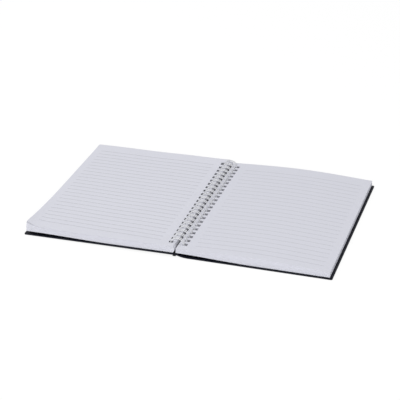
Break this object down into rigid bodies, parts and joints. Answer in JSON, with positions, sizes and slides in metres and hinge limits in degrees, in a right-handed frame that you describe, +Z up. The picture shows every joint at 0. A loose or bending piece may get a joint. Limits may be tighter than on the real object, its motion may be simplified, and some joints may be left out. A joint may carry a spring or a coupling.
{
  "type": "wire-bound notebook",
  "caption": "Open ruled notebook with thin dark covers, two blocks of punched sheets and a twin-loop wire binding along the spine.",
  "frame": {"origin": "on the table, under the middle of the wire binding", "axes": "+X towards the fore edge of the sheets that are not turned, +Y along the spine towards the top of the page, +Z up"},
  "size_m": [0.3098, 0.2106, 0.0148],
  "materials": {
    "wire": "satin",
    "cover": "matte",
    "paper_left": "matte",
    "paper_right": "matte"
  },
  "bodies": {
    "binding": {"wire_binding": "wire"},
    "front_half": {"front_cover": "cover", "turned_pages": "paper_left"},
    "back_half": {"back_cover": "cover", "remaining_pages": "paper_right"}
  },
  "joints": [
    {"name": "front_cover_turn", "type": "hinge", "parent": "binding", "child": "front_half", "pos_m": [0, 0, 0.0075], "axis": [0, 1, 0], "range_deg": [0, 177]},
    {"name": "back_cover_turn", "type": "hinge", "parent": "binding", "child": "back_half", "pos_m": [0, 0, 0.0075], "axis": [0, 1, 0], "range_deg": [-177, 0]}
  ]
}
